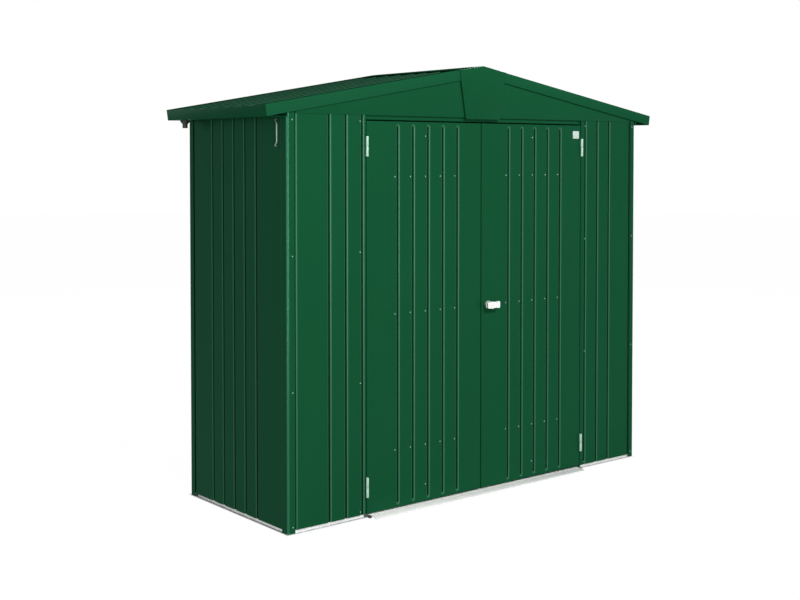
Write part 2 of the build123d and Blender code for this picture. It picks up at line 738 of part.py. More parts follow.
panel_top = GABLE_BOTTOM + PANEL_TOP_LAP
side_top = roof_underside(PANEL_FACE_X)
post_top = roof_underside(WALL_WIDTH / 2)
left_door_edge = -DOOR_EDGE
right_door_edge = DOOR_MIDDLE_GAP / 2

post_back_right = corner_post(post_top)
jamb_right = door_jamb()
roof_right = roof_sheet_right()
gutter = gutter_right()
outlet = gutter_outlet()
side_rail = top_rail_side()
front_rail = top_rail_front()
gable = gable_sheet()
verge_front = verge_front_right()
verge_back = verge_back_right()
fixed_hinges = hinge_fixed()
moving_hinges = hinge_moving()
left_panel = front_panel(LEFT_PANEL_NEAR_GROOVE, panel_top)
right_panel = mirror_x(front_panel(RIGHT_PANEL_NEAR_GROOVE, panel_top))
left_side = side_panel(side_top)
left_floor_rail = floor_rail_left()

nodes = {
    "floor_rail_front": floor_rail_front(),
    "floor_rail_back": floor_rail_back(),
    "floor_rail_left": left_floor_rail,
    "floor_rail_right": mirror_x(left_floor_rail),
    "door_sill": door_sill(),
    "sill_caps": sill_caps(),
    "corner_post_back_right": post_back_right,
    "corner_post_back_left": mirror_x(post_back_right),
    "corner_post_front_right": mirror_y(post_back_right),
    "corner_post_front_left": mirror_x(mirror_y(post_back_right)),
    "front_panel_left": left_panel,
    "front_panel_right": right_panel,
    "side_panel_left": left_side,
    "side_panel_right": mirror_x(left_side),
    "door_jamb_right": jamb_right,
    "door_jamb_left": mirror_x(jamb_right),
    "top_rail_front": front_rail,
    "top_rail_back": mirror_y(front_rail),
    "top_rail_right": side_rail,
    "top_rail_left": mirror_x(side_rail),
    "gable_front": gable,
    "gable_back": mirror_y(gable),
    "gable_keystone": gable_keystone(),
    "verge_front_right": verge_front,
    "verge_front_left": mirror_x(verge_front),
    "verge_back_right": verge_back,
    "verge_back_left": mirror_x(verge_back),
    "gutter_right": gutter,
    "gutter_left": mirror_x(gutter),
    "gutter_outlets": outlet + mirror_x(outlet),
    "roof_sheet_right": roof_right,
    "roof_sheet_left": mirror_x(roof_right),
    "ridge_cap": ridge_cap(),
    "ridge_beam": ridge_beam(),
    "hinge_fixed_left": fixed_hinges,
    "hinge_fixed_right": mirror_x(fixed_hinges),
    "rod_bracket": rod_bracket(),
    "door_skin_left": door_skin(left_door_edge),
    "door_rails_left": door_rails(left_door_edge),
    "hinge_moving_left": moving_hinges,
    "door_skin_right": door_skin(right_door_edge),
    "door_rails_right": door_rails(right_door_edge),
    "hinge_moving_right": mirror_x(moving_hinges),
    "handle_rose": handle_rose(),
    "handle_lever": handle_lever(),
    "blank_plate": blank_plate(),
}
for number, place in enumerate(("left", "middle", "right")):
    nodes["back_panel_" + place] = back_panel(number, panel_top)

os.makedirs("parts", exist_ok=True)
for name, shape in nodes.items():
    export_step(shape, "parts/" + name + ".step")
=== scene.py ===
import json
import math

import bmesh
import bpy
from mathutils import Matrix, Vector


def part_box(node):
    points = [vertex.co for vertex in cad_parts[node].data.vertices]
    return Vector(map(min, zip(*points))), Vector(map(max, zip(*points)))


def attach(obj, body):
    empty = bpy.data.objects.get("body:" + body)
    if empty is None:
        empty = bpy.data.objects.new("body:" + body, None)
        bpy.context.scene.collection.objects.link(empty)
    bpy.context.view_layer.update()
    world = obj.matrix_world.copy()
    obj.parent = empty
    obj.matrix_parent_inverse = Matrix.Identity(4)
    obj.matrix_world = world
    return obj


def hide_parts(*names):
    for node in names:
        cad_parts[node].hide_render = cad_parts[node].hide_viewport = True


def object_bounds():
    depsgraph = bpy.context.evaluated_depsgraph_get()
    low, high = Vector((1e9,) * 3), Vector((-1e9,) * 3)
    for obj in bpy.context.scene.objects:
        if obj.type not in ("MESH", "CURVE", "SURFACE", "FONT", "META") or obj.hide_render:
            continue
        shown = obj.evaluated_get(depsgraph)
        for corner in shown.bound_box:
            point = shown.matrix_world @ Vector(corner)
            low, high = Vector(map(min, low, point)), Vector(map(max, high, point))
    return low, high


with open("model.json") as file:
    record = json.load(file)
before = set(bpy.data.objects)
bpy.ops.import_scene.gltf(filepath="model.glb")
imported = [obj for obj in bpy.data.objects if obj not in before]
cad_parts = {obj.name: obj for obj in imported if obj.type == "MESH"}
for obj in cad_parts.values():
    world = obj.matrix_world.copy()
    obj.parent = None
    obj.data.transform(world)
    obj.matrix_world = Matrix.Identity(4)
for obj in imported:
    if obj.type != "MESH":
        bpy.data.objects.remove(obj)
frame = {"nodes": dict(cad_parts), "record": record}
cad_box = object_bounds()

# Floor frame
# Four mill-finish alloy angles lie on the slab under the walls and take the ground anchors.
# They are sawn from extruded lengths, and their flanges show as a pale strip round the foot.
MM = 0.001
FRAME_EDGE_ROUND = 0.5 * MM
ALLOY_COLOUR = (0.66, 0.67, 0.67)
ALLOY_ROUGHNESS = 0.42
ALONG_THE_ANGLES = (0.03, 0.03, 1)
WELD_REACH = 0.005 * MM
FLAT_ANGLE = math.radians(0.5)
NOISE_MIDDLE = (0.3, 0.7)

record = frame["record"]
body_of = {}
for body, members in record["behaviour"]["bodies"].items():
    for member in members:
        body_of[member] = body


def stands_for(piece, *nodes):
    """The piece takes the place and the body of the nodes that it shows, and they are hidden."""
    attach(piece, body_of[nodes[0]])
    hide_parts(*nodes)
    return piece


def in_scene(name, data):
    """A new object with this data, put into the scene."""
    piece = bpy.data.objects.new(name, data)
    bpy.context.collection.objects.link(piece)
    return piece


def finished_mesh(name, shape, *materials):
    """The built shape as a mesh with these materials."""
    mesh = bpy.data.meshes.new(name)
    shape.to_mesh(mesh)
    shape.free()
    for material in materials:
        mesh.materials.append(material)
    return mesh


def object_noise(tree, scale, detail, stretch=(1, 1, 1)):
    """Noise that stays fixed to the piece, drawn out along the axes with a small stretch."""
    place = tree.nodes.new("ShaderNodeTexCoord")
    mapping = tree.nodes.new("ShaderNodeMapping")
    mapping.inputs["Scale"].default_value = stretch
    noise = tree.nodes.new("ShaderNodeTexNoise")
    noise.inputs["Scale"].default_value = scale
    noise.inputs["Detail"].default_value = detail
    tree.links.new(place.outputs["Object"], mapping.inputs["Vector"])
    tree.links.new(mapping.outputs["Vector"], noise.inputs["Vector"])
    return noise.outputs[0]


def spread(tree, value, low, high, ends=NOISE_MIDDLE):
    """The value between the two ends, laid out from low to high."""
    reach = tree.nodes.new("ShaderNodeMapRange")
    reach.inputs["From Min"].default_value = ends[0]
    reach.inputs["From Max"].default_value = ends[1]
    reach.inputs["To Min"].default_value = low
    reach.inputs["To Max"].default_value = high
    tree.links.new(value, reach.inputs["Value"])
    return reach.outputs["Result"]


def shaded(tree, noise, colour, swing):
    """The colour, drifting darker and lighter with the noise by the share given."""
    blend = tree.nodes.new("ShaderNodeMix")
    blend.data_type = "RGBA"
    blend.inputs[6].default_value = (*[part * (1 - swing) for part in colour], 1)
    blend.inputs[7].default_value = (*[part * (1 + swing) for part in colour], 1)
    tree.links.new(spread(tree, noise, 0, 1), blend.inputs[0])
    return blend.outputs[2]


def relief(tree, heights, shader):
    """Bumps laid over each other, each given as its noise and its height in metres."""
    below = None
    for noise, height in heights:
        bump = tree.nodes.new("ShaderNodeBump")
        bump.inputs["Strength"].default_value = 1
        bump.inputs["Distance"].default_value = height
        tree.links.new(noise, bump.inputs["Height"])
        if below:
            tree.links.new(below, bump.inputs["Normal"])
        below = bump.outputs["Normal"]
    tree.links.new(below, shader.inputs["Normal"])


def new_finish(name):
    """A new material with its node tree and its shader."""
    material = bpy.data.materials.new(name)
    material.use_nodes = True
    tree = material.node_tree
    return material, tree, tree.nodes["Principled BSDF"]


def drawn_alloy(name, colour, roughness, stretch, metallic=0.7):
    """Bare alloy with the fine lines of the die or the rolls, and a dull patchy skin."""
    material, tree, shader = new_finish(name)
    lines = object_noise(tree, scale=900, detail=2, stretch=stretch)
    patches = object_noise(tree, scale=14, detail=3)
    dullness = spread(tree, lines, roughness - 0.07, roughness + 0.07)
    tree.links.new(shaded(tree, patches, colour, swing=0.05), shader.inputs["Base Color"])
    tree.links.new(dullness, shader.inputs["Roughness"])
    shader.inputs["Metallic"].default_value = metallic
    relief(tree, [(lines, 0.04 * MM), (patches, 0.2 * MM)], shader)
    return material


def rounded_copy(node, name, material, radius, steps=2, angle=30):
    """The node's own shape with its sheared or folded edges rounded, in place of the node."""
    shape = bmesh.new()
    shape.from_mesh(frame["nodes"][node].data)
    bmesh.ops.remove_doubles(shape, verts=shape.verts, dist=WELD_REACH)
    bmesh.ops.dissolve_limit(shape, angle_limit=FLAT_ANGLE, verts=shape.verts, edges=shape.edges)
    mesh = finished_mesh(name, shape, material)
    mesh.shade_smooth()
    piece = in_scene(name, mesh)
    bevel = piece.modifiers.new("rounded edges", "BEVEL")
    bevel.width = radius
    bevel.segments = steps
    bevel.limit_method = "ANGLE"
    bevel.angle_limit = math.radians(angle)
    bevel.harden_normals = True
    stands_for(piece, node)
    return piece


bare_alloy = drawn_alloy("mill finish alloy", ALLOY_COLOUR, ALLOY_ROUGHNESS, ALONG_THE_ANGLES)
for side in ("front", "back", "left", "right"):
    rounded_copy("floor_rail_" + side, "floor_frame_" + side, bare_alloy, FRAME_EDGE_ROUND)

# Corner posts
# Each is one strip of coated steel rolled to a round nose, with a leg over each wall sheet.
# The middle of the nose has a glossier coat in a lighter green, the green a painted highlight, so
# that it shows a bright line along its whole height.
GREEN = (0.0058, 0.0700, 0.0268)
# A lighter green for the middle of the nose: a painted highlight.
NOSE_HIGHLIGHT_GREEN = (0.016, 0.105, 0.052)
# A lighter green for the flanks of the beads: a painted highlight.
FLANK_HIGHLIGHT_GREEN = (0.036, 0.130, 0.072)
COAT_TINT = (0.45, 1.0, 0.75, 1)
# How far pressed a point must be for the painted highlight and for the painted shade, and how much
# that shade darkens the green.
FLANK_HIGHLIGHT_REACH = (0.04, 0.16)
ROOT_SHADE_REACH = (0.45, 0.76)
ROOT_SHADE = 0.75
POST_THICKNESS = 1.2 * MM
POST_NOSE = 18 * MM
POST_FRONT_LEG = 38 * MM
NOSE_LEAD = 2 * MM
NOSE_STEPS = 16
NOSE_BAND = (5, 11)
SHARP_EDGE = math.radians(32)


def coated_steel(name, colour, roughness, sheen, metallic=0.18):
    """Baked coating with a faint orange peel and a slow drift of tone.

    A pressed sheet stores how far each point of its beads is pressed. A lighter green there is a
    painted highlight on the flanks, and a darker green is painted shade in the root of a wall's
    bead and on the top of a roof's rib.
    """
    material, tree, shader = new_finish(name)
    drift = object_noise(tree, scale=1.7, detail=3)
    peel = object_noise(tree, scale=700, detail=2)
    dapple = object_noise(tree, scale=60, detail=2)
    pressed = tree.nodes.new("ShaderNodeAttribute")
    pressed.attribute_name = "bead_depth"
    tone = shaded(tree, drift, colour, swing=0.035)
    # Lay the painted highlight over the bead flanks, then the painted shade over the roots and rib
    # tops.
    root_shade_colour = [part * (1 - ROOT_SHADE) for part in colour]
    for reach, layer in ((FLANK_HIGHLIGHT_REACH, FLANK_HIGHLIGHT_GREEN), (ROOT_SHADE_REACH, root_shade_colour)):
        cover = tree.nodes.new("ShaderNodeMix")
        cover.data_type = "RGBA"
        cover.inputs[7].default_value = (*layer, 1)
        tree.links.new(spread(tree, pressed.outputs["Fac"], 0, 1, reach), cover.inputs[0])
        tree.links.new(tone, cover.inputs[6])
        tone = cover.outputs[2]
    dullness = spread(tree, dapple, roughness - 0.03, roughness + 0.03)
    tree.links.new(tone, shader.inputs["Base Color"])
    tree.links.new(dullness, shader.inputs["Roughness"])
    shader.inputs["Metallic"].default_value = metallic
    shader.inputs["Specular IOR Level"].default_value = sheen
    shader.inputs["Specular Tint"].default_value = COAT_TINT
    relief(tree, [(dapple, 0.02 * MM), (peel, 0.006 * MM)], shader)
    return material


def arc(centre, radius, start, end, steps):
    """Points on an arc in the plane of a section; angles in degrees."""
    points = []
    for step in range(steps + 1):
        turn = math.radians(start + (end - start) * step / steps)
        points.append((centre[0] + radius * math.cos(turn), centre[1] + radius * math.sin(turn)))
    return points


def smoothed(mesh):
    """Shades the curves smooth and leaves the edges sharp."""
    mesh.shade_smooth()
    mesh.set_sharp_from_angle(angle=SHARP_EDGE)


def applied(piece):
    """Makes the result of the piece's modifiers its plain mesh."""
    graph = bpy.context.evaluated_depsgraph_get()
    mesh = bpy.data.meshes.new_from_object(piece.evaluated_get(graph))
    piece.modifiers.clear()
    piece.data = mesh
    return mesh


def thickened(piece, thickness):
    """Gives a sheet its thickness behind its outer face."""
    wall = piece.modifiers.new("sheet", "SOLIDIFY")
    wall.thickness = thickness
    wall.offset = -1
    smoothed(applied(piece))
    return piece


def rolled_strip(name, outline, low, high, thickness, materials, band):
    """A strip standing on end: the outline in X and Y, drawn with its outer face on the right.

    The steps of the outline that lie in the band take the second material.
    """
    shape = bmesh.new()
    foot = [shape.verts.new((x, y, low)) for x, y in outline]
    head = [shape.verts.new((x, y, high)) for x, y in outline]
    for step in range(len(outline) - 1):
        face = shape.faces.new((foot[step], foot[step + 1], head[step + 1], head[step]))
        face.material_index = 1 if band[0] <= step < band[1] else 0
    return thickened(in_scene(name, finished_mesh(name, shape, *materials)), thickness)


green_coat = coated_steel("dark green coating", GREEN, roughness=0.33, sheen=0.02)
# The glossier nose coat; its lighter green is a painted highlight.
nose_coat = coated_steel(
    "burnished coating on the rolled noses", NOSE_HIGHLIGHT_GREEN, roughness=0.24, sheen=0.5, metallic=0.3
)
coats = (green_coat, nose_coat)
for across in ("left", "right"):
    for along in ("front", "back"):
        node = f"corner_post_{along}_{across}"
        low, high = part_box(node)
        x_out = low.x if across == "left" else high.x
        y_out, y_in = (low.y, high.y) if along == "front" else (high.y, low.y)
        x_side = 1 if across == "left" else -1
        y_side = 1 if along == "front" else -1
        x_nose = x_out + x_side * POST_NOSE
        y_nose = y_out + y_side * POST_NOSE
        quarter = arc((0, 0), POST_NOSE, 0, 90, NOSE_STEPS)
        side_leg = [(x_out, y_in), (x_out, y_nose + y_side * NOSE_LEAD)]
        nose = [(x_nose - x_side * u, y_nose - y_side * v) for u, v in quarter]
        face_leg = [(x_nose + x_side * NOSE_LEAD, y_out), (x_out + x_side * POST_FRONT_LEG, y_out)]
        outline = side_leg + nose + face_leg
        band = [len(side_leg) + step for step in NOSE_BAND]
        if x_side * y_side < 0:
            outline.reverse()
            band = [len(outline) - 1 - step for step in reversed(band)]
        name = f"post_{along}_{across}"
        post = rolled_strip(name, outline, low.z, high.z, POST_THICKNESS, coats, band)
        stands_for(post, node)

# Wall sheets
# Each wall is galvanised sheet, coated green and roll-formed with narrow V beads that stiffen it.
# The sheets slide behind the posts, and one extra bead runs beside each post.
SHEET_THICKNESS = 1.2 * MM
BEAD_PITCH = 89.7 * MM
SIDE_BEAD_PITCH = 92 * MM
POST_BEAD = 23 * MM
STEEL_BEAD = {"Bead Width": 22 * MM, "Bead Depth": 6 * MM, "Root Share": 0.364, "Root Rise": 0.217}
OPEN_ENDS = {"Rows": 2, "End Margin": 0.0, "End Length": 0.0}
BEAD_COLUMNS = 19
BEAD_REACH = 1.3
SHOULDER = 0.1
END_BLEND = 0.4


def maths(tree, operation, first, second=0.0, third=0.0):
    """One sum of a node tree; each part is a socket or a number."""
    step = tree.nodes.new("ShaderNodeMath")
    step.operation = operation
    for socket, value in zip(step.inputs, (first, second, third)):
        if isinstance(value, bpy.types.NodeSocket):
            tree.links.new(value, socket)
        else:
            socket.default_value = value
    return step.outputs[0]


def choose(tree, condition, yes, no):
    """Yes where the condition is 1 and no where it is 0."""
    change = maths(tree, "SUBTRACT", yes, no)
    return maths(tree, "MULTIPLY_ADD", condition, change, no)


def new_sizes(tree, sizes):
    """The tree's named inputs, as a dictionary of their sockets."""
    for name, kind in sizes:
        tree.interface.new_socket(name=name, in_out="INPUT", socket_type=kind)
    tree.interface.new_socket(name="Geometry", in_out="OUTPUT", socket_type="NodeSocketGeometry")
    start = tree.nodes.new("NodeGroupInput")
    return {name: start.outputs[name] for name, _ in sizes}


def end_tree(tree, geometry, material):
    """Turns the geometry into one mesh with the material, as what the tree gives."""
    realize = tree.nodes.new("GeometryNodeRealizeInstances")
    paint = tree.nodes.new("GeometryNodeSetMaterial")
    end = tree.nodes.new("NodeGroupOutput")
    tree.links.new(geometry, realize.inputs["Geometry"])
    tree.links.new(realize.outputs["Geometry"], paint.inputs["Geometry"])
    tree.links.new(material, paint.inputs["Material"])
    tree.links.new(paint.outputs["Geometry"], end.inputs["Geometry"])


def beaded_sheet_tree():
    """A flat sheet in X and Z with straight ribs pressed along Z, spaced by a rule along X.

    The first and the last rib have places of their own, and those between are evenly spaced.
    With 2 rows the ribs run out at the ends; with more they die out over the end length.
    """
    tree = bpy.data.node_groups.new("beaded sheet", "GeometryNodeTree")
    size = new_sizes(tree, [
        ("Width", "NodeSocketFloat"), ("Height", "NodeSocketFloat"),
        ("Near Bead", "NodeSocketFloat"), ("First Bead", "NodeSocketFloat"),
        ("Far Bead", "NodeSocketFloat"), ("Bead Pitch", "NodeSocketFloat"),
        ("Bead Count", "NodeSocketInt"), ("Bead Width", "NodeSocketFloat"),
        ("Bead Depth", "NodeSocketFloat"), ("Root Share", "NodeSocketFloat"),
        ("Root Rise", "NodeSocketFloat"), ("Rows", "NodeSocketInt"),
        ("End Margin", "NodeSocketFloat"), ("End Length", "NodeSocketFloat"),
        ("Material", "NodeSocketMaterial"),
    ])

    # The grid has a column at each edge of the sheet and a run of columns over each bead.
    columns = maths(tree, "MULTIPLY_ADD", size["Bead Count"], BEAD_COLUMNS, 2)
    last_column = maths(tree, "SUBTRACT", columns, 1)
    last_row = maths(tree, "SUBTRACT", size["Rows"], 1)
    grid = tree.nodes.new("GeometryNodeMeshGrid")
    tree.links.new(last_column, grid.inputs["Size X"])
    tree.links.new(last_row, grid.inputs["Size Y"])
    tree.links.new(columns, grid.inputs["Vertices X"])
    tree.links.new(size["Rows"], grid.inputs["Vertices Y"])
    position = tree.nodes.new("GeometryNodeInputPosition")
    place = tree.nodes.new("ShaderNodeSeparateXYZ")
    tree.links.new(position.outputs[0], place.inputs[0])
    column = maths(tree, "ROUND", maths(tree, "MULTIPLY_ADD", last_column, 0.5, place.outputs["X"]))
    row = maths(tree, "ROUND", maths(tree, "MULTIPLY_ADD", last_row, 0.5, place.outputs["Y"]))

    # Each column's place: its bead's centre and how far it lies across that bead.
    step = maths(tree, "SUBTRACT", column, 1)
    bead = maths(tree, "FLOOR", maths(tree, "DIVIDE", step, BEAD_COLUMNS))
    in_bead = maths(tree, "SUBTRACT", step, maths(tree, "MULTIPLY", bead, BEAD_COLUMNS))
    across = maths(tree, "MULTIPLY_ADD", in_bead, 2 * BEAD_REACH / (BEAD_COLUMNS - 1), -BEAD_REACH)
    past_near = maths(tree, "SUBTRACT", bead, 1)
    even = maths(tree, "MULTIPLY_ADD", past_near, size["Bead Pitch"], size["First Bead"])
    is_near = maths(tree, "LESS_THAN", bead, 0.5)
    is_far = maths(tree, "GREATER_THAN", bead, maths(tree, "SUBTRACT", size["Bead Count"], 1.5))
    centre = choose(tree, is_near, size["Near Bead"], even)
    centre = choose(tree, is_far, size["Far Bead"], centre)
    half_width = maths(tree, "MULTIPLY", size["Bead Width"], 0.5)
    x = maths(tree, "MULTIPLY_ADD", across, half_width, centre)
    x = choose(tree, maths(tree, "LESS_THAN", column, 0.5), 0.0, x)
    at_last = maths(tree, "GREATER_THAN", column, maths(tree, "SUBTRACT", last_column, 0.5))
    x = choose(tree, at_last, size["Width"], x)

    # The bead's section: a crowned root, straight flanks and a soft shoulder.
    aside = maths(tree, "ABSOLUTE", across)
    in_root = maths(tree, "DIVIDE", aside, size["Root Share"])
    root = maths(tree, "MULTIPLY", maths(tree, "MULTIPLY", in_root, in_root), size["Root Rise"])
    root = maths(tree, "SUBTRACT", 1, root)
    fall = maths(tree, "SUBTRACT", 1, size["Root Rise"])
    fall = maths(tree, "DIVIDE", fall, maths(tree, "SUBTRACT", 1, size["Root Share"]))
    flank = maths(tree, "MULTIPLY", fall, maths(tree, "SUBTRACT", 1, aside))
    left_over = maths(tree, "MAXIMUM", maths(tree, "SUBTRACT", 1 + SHOULDER, aside), 0)
    shoulder = maths(tree, "MULTIPLY", maths(tree, "MULTIPLY", left_over, left_over), fall)
    shoulder = maths(tree, "DIVIDE", shoulder, 4 * SHOULDER)
    pressed = choose(tree, maths(tree, "GREATER_THAN", aside, 1 - SHOULDER), shoulder, flank)
    pressed = choose(tree, maths(tree, "LESS_THAN", aside, size["Root Share"]), root, pressed)

    # Each row's height, and how far the beads have grown there from their closed ends.
    from_end = maths(tree, "MINIMUM", row, maths(tree, "SUBTRACT", last_row, row))
    end_steps = maths(tree, "SUBTRACT", maths(tree, "MULTIPLY", size["Rows"], 0.5), 2)
    share = maths(tree, "DIVIDE", maths(tree, "SUBTRACT", from_end, 1), end_steps)
    inside = maths(tree, "MULTIPLY_ADD", share, size["End Length"], size["End Margin"])
    inside = maths(tree, "MULTIPLY", inside, maths(tree, "GREATER_THAN", from_end, 0.5))
    upper = maths(tree, "GREATER_THAN", row, maths(tree, "MULTIPLY", last_row, 0.5))
    z = choose(tree, upper, maths(tree, "SUBTRACT", size["Height"], inside), inside)
    share = maths(tree, "MINIMUM", maths(tree, "MAXIMUM", share, 0), 1)
    grown = maths(tree, "SMOOTH_MIN", share, 1, END_BLEND)
    grown = maths(tree, "MULTIPLY", grown, maths(tree, "GREATER_THAN", share, 0))

    depth = maths(tree, "MULTIPLY", pressed, grown)
    y = maths(tree, "MULTIPLY", depth, size["Bead Depth"])
    target = tree.nodes.new("ShaderNodeCombineXYZ")
    for socket, value in zip(target.inputs, (x, y, z)):
        tree.links.new(value, socket)
    # The depth is stored so that the coating can paint a highlight on the flanks and shade in the
    # roots.
    store = tree.nodes.new("GeometryNodeStoreNamedAttribute")
    store.inputs["Name"].default_value = "bead_depth"
    tree.links.new(grid.outputs["Mesh"], store.inputs["Geometry"])
    tree.links.new(depth, store.inputs["Value"])
    move = tree.nodes.new("GeometryNodeSetPosition")
    tree.links.new(store.outputs["Geometry"], move.inputs["Geometry"])
    tree.links.new(target.outputs[0], move.inputs["Position"])
    end_tree(tree, move.outputs["Geometry"], size["Material"])
    return tree


def made_by(tree, name, sizes, points=()):
    """The tree's result for these sizes, worked on the points, as a piece with a plain mesh."""
    start = bpy.data.meshes.new(name)
    start.from_pydata(points, [], [])
    piece = in_scene(name, start)
    maker = piece.modifiers.new(name, "NODES")
    maker.node_group = tree
    for socket in tree.interface.items_tree:
        if socket.in_out == "INPUT" and socket.name in sizes:
            maker[socket.identifier] = sizes[socket.name]
    mesh = applied(piece)
    mesh.materials.clear()
    mesh.materials.append(sizes["Material"])
    return piece


beaded_sheet = beaded_sheet_tree()


def pressed_sheet(name, width, height, beads, section, ends, material):
    """A sheet with beads at these places; all but the first and the last are evenly spaced."""
    return made_by(beaded_sheet, name, {
        "Width": width, "Height": height, "Near Bead": beads[0], "First Bead": beads[1],
        "Far Bead": beads[-1], "Bead Pitch": beads[2] - beads[1], "Bead Count": len(beads),
        **section, **ends, "Material": material,
    })


def wall_sheet(name, width, height, beads, place):
    """A coated wall sheet; place stands it in its wall."""
    piece = pressed_sheet(name, width, height, beads, STEEL_BEAD, OPEN_ENDS, green_coat)
    thickened(piece, SHEET_THICKNESS)
    piece.data.transform(place)
    return piece


def evenly(first, pitch, count):
    """Places along a sheet, the pitch apart."""
    return [first + pitch * number for number in range(count)]


def standing(x, y, z, turn):
    """A place for a sheet drawn facing the front: moved to the point and turned about it."""
    return Matrix.Translation((x, y, z)) @ Matrix.Rotation(math.radians(turn), 4, "Z")


FRONT_BEADS = 3
LEFT_NEAR_BEAD = 18 * MM
RIGHT_NEAR_BEAD = 34 * MM
low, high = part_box("front_panel_left")
width = high.x - low.x
beads = evenly(width - LEFT_NEAR_BEAD - 2 * BEAD_PITCH, BEAD_PITCH, FRONT_BEADS)
beads = [POST_BEAD] + beads
place = standing(low.x, low.y, low.z, 0)
piece = wall_sheet("front_sheet_left", width, high.z - low.z, beads, place)
stands_for(piece, "front_panel_left")
low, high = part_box("front_panel_right")
width = high.x - low.x
beads = evenly(RIGHT_NEAR_BEAD, BEAD_PITCH, FRONT_BEADS) + [width - POST_BEAD]
place = standing(low.x, low.y, low.z, 0)
piece = wall_sheet("front_sheet_right", width, high.z - low.z, beads, place)
stands_for(piece, "front_panel_right")

SIDE_BEADS = 5
SIDE_BEAD_SHIFT = 16 * MM
for side, turn in (("left", -90), ("right", 90)):
    low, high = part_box("side_panel_" + side)
    width = high.y - low.y
    middle = width / 2 + (-SIDE_BEAD_SHIFT if side == "left" else SIDE_BEAD_SHIFT)
    beads = evenly(middle - 2 * SIDE_BEAD_PITCH, SIDE_BEAD_PITCH, SIDE_BEADS)
    beads = [POST_BEAD] + beads + [width - POST_BEAD]
    corner = (low.x, high.y, low.z, turn) if side == "left" else (high.x, low.y, low.z, turn)
    piece = wall_sheet("side_sheet_" + side, width, high.z - low.z, beads, standing(*corner))
    stands_for(piece, "side_panel_" + side)

BACK_BEADS = 5
for name in ("left", "middle", "right"):
    low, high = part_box("back_panel_" + name)
    width = high.x - low.x
    beads = evenly(width / 2 - 2 * BEAD_PITCH, BEAD_PITCH, BACK_BEADS)
    if name == "left":
        beads = [POST_BEAD] + beads
    if name == "right":
        beads = beads + [width - POST_BEAD]
    place = standing(high.x, high.y, low.z, 180)
    piece = wall_sheet("back_sheet_" + name, width, high.z - low.z, beads, place)
    stands_for(piece, "back_panel_" + name)

# Door jambs and wall head rails
# Folded channels of the same coated steel: a jamb each side of the opening carries the hinges,
# and the rails along the wall heads tie the sheets to the roof.
JAMB_FOLD = 1.2 * MM
FOLD_ROUND = 0.8 * MM
for side in ("left", "right"):
    rounded_copy("door_jamb_" + side, "jamb_" + side, green_coat, JAMB_FOLD)
for side in ("front", "back", "left", "right"):
    rounded_copy("top_rail_" + side, "head_rail_" + side, green_coat, FOLD_ROUND)

# Gables and peak plate
# A flat sheet closes each gable; over the front peak sits a folded tray, its face left bare.
GABLE_EDGE_ROUND = 0.5 * MM
PEAK_FOLD = 0.9 * MM
for end in ("front", "back"):
    rounded_copy("gable_" + end, "gable_sheet_" + end, green_coat, GABLE_EDGE_ROUND)
rounded_copy("gable_keystone", "peak_plate", green_coat, PEAK_FOLD)

# Ridge beam and roof sheets
# A folded beam runs from gable to gable; the two ribbed sheets rest on it and on the side walls.
ROOF_RIBS = 9
ROOF_RIB_WIDTH = 30 * MM
ROOF_RIB = {
    "Bead Width": ROOF_RIB_WIDTH, "Bead Depth": -8 * MM, "Root Share": 14 / 30, "Root Rise": 0.06,
}
ROOF_EDGE_FLAT = 4 * MM
ROOF_SHEET = 1.2 * MM
PAN_DEPTH = 10 * MM
PEAK_GAP = 1 * MM
EAVE_HEIGHT = 1820 * MM
ROOF_GREEN = (0.0048, 0.0560, 0.0240)

roof_coat = coated_steel(
    "matt green coating on the roof", ROOF_GREEN, roughness=0.62, sheen=0.0, metallic=0.0
)
rounded_copy("ridge_beam", "ridge_beam_channel", green_coat, FOLD_ROUND)
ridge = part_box("ridge_cap")[1].z
half_roof = cad_box[1][0]
slope = math.atan2(ridge - EAVE_HEIGHT, half_roof)
for side, down in (("left", -1), ("right", 1)):
    node = "roof_sheet_" + side
    low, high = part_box(node)
    width = high.y - low.y
    reach = max(abs(low.x), abs(high.x)) / math.cos(slope)
    start = PAN_DEPTH * math.tan(slope) + PEAK_GAP
    first = ROOF_EDGE_FLAT + ROOF_RIB_WIDTH / 2
    ribs = evenly(first, (width - 2 * first) / (ROOF_RIBS - 1), ROOF_RIBS)
    name = "roof_sheet_ribbed_" + side
    sheet = pressed_sheet(name, width, reach - start, ribs, ROOF_RIB, OPEN_ENDS, roof_coat)
    thickened(sheet, ROOF_SHEET)
    downhill = Vector((down * math.cos(slope), 0, -math.sin(slope)))
    inward = Vector((-down * math.sin(slope), 0, -math.cos(slope)))
    along = inward.cross(downhill)
    turn = Matrix((along, inward, downhill)).transposed().to_4x4()
    peak = Vector((0, high.y if down > 0 else low.y, ridge))
    corner = peak + inward * PAN_DEPTH + downhill * start
    sheet.data.transform(Matrix.Translation(corner) @ turn)
    stands_for(sheet, node)

# Ridge cap and verge trims
# Folded strips cover the ridge and both ends of the ribbed sheets. The cap has the roof's
# colour, and the trims are a little lighter.
TRIM_GREEN = (0.0075, 0.0760, 0.0310)

trim_coat = coated_steel(
    "matt green coating on the verges", TRIM_GREEN, roughness=0.5, sheen=0.0, metallic=0.0
)
rounded_copy("ridge_cap", "ridge_cap_strip", roof_coat, FOLD_ROUND)
for end in ("front", "back"):
    for side in ("left", "right"):
        name = f"verge_trim_{end}_{side}"
        rounded_copy(f"verge_{end}_{side}", name, trim_coat, FOLD_ROUND)

